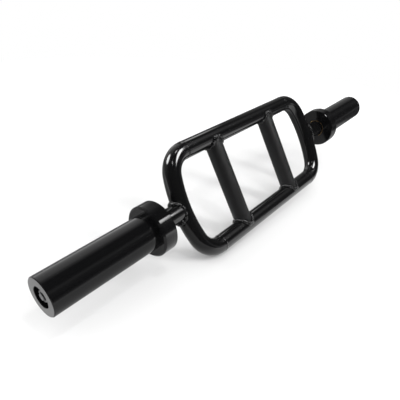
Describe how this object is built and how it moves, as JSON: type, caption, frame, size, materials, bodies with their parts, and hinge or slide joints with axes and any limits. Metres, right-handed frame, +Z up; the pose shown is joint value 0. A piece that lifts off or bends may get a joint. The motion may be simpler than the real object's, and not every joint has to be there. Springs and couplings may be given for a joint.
{
  "type": "triceps bar",
  "caption": "Short barbell with a closed loop of round tube, parallel hand grips across it and turning plate sleeves on its ends.",
  "frame": {"origin": "middle of the bar's axis, which is the centre of its box", "axes": "+X along the bar, to the right-hand sleeve; +Z up along the grips, in the plane of the loop; +Y square to the loop"},
  "size_m": [0.8, 0.072, 0.1792],
  "materials": {
    "frame_paint": "gloss black paint over steel tube",
    "grip_paint": "satin black, finely textured for grip",
    "weld_paint": "gloss black paint over rippled weld beads",
    "sleeve_paint": "gloss black over fine turning marks",
    "bare_steel": "dull zinc-plated steel",
    "bronze": "sintered bronze, oiled",
    "nylon": "moulded black nylon"
  },
  "bodies": {
    "frame": {"upper_rail": "frame_paint", "lower_rail": "frame_paint", "left_end_bow": "frame_paint", "right_end_bow": "frame_paint", "left_upper_butt_weld": "frame_paint", "right_upper_butt_weld": "frame_paint", "left_lower_butt_weld": "frame_paint", "right_lower_butt_weld": "frame_paint", "left_grip": "grip_paint", "right_grip": "grip_paint", "left_grip_upper_weld": "weld_paint", "right_grip_upper_weld": "weld_paint", "left_grip_lower_weld": "weld_paint", "right_grip_lower_weld": "weld_paint", "left_axle": "frame_paint", "right_axle": "frame_paint", "left_axle_weld": "weld_paint", "right_axle_weld": "weld_paint", "left_thrust_washer": "bare_steel", "right_thrust_washer": "bare_steel", "left_retaining_washer": "bare_steel", "right_retaining_washer": "bare_steel", "left_lock_nut": "bare_steel", "right_lock_nut": "bare_steel", "left_nut_insert": "nylon", "right_nut_insert": "nylon"},
    "left_sleeve": {"left_sleeve": "sleeve_paint", "left_collar": "sleeve_paint", "left_inner_bush": "bronze", "left_outer_bush": "bronze"},
    "right_sleeve": {"right_sleeve": "sleeve_paint", "right_collar": "sleeve_paint", "right_inner_bush": "bronze", "right_outer_bush": "bronze"}
  },
  "joints": [
    {"name": "left_sleeve_spin", "type": "hinge", "parent": "frame", "child": "left_sleeve", "pos_m": [-0.3, 0, 0], "axis": [1, 0, 0], "continuous": true},
    {"name": "right_sleeve_spin", "type": "hinge", "parent": "frame", "child": "right_sleeve", "pos_m": [0.3, 0, 0], "axis": [1, 0, 0], "continuous": true}
  ]
}
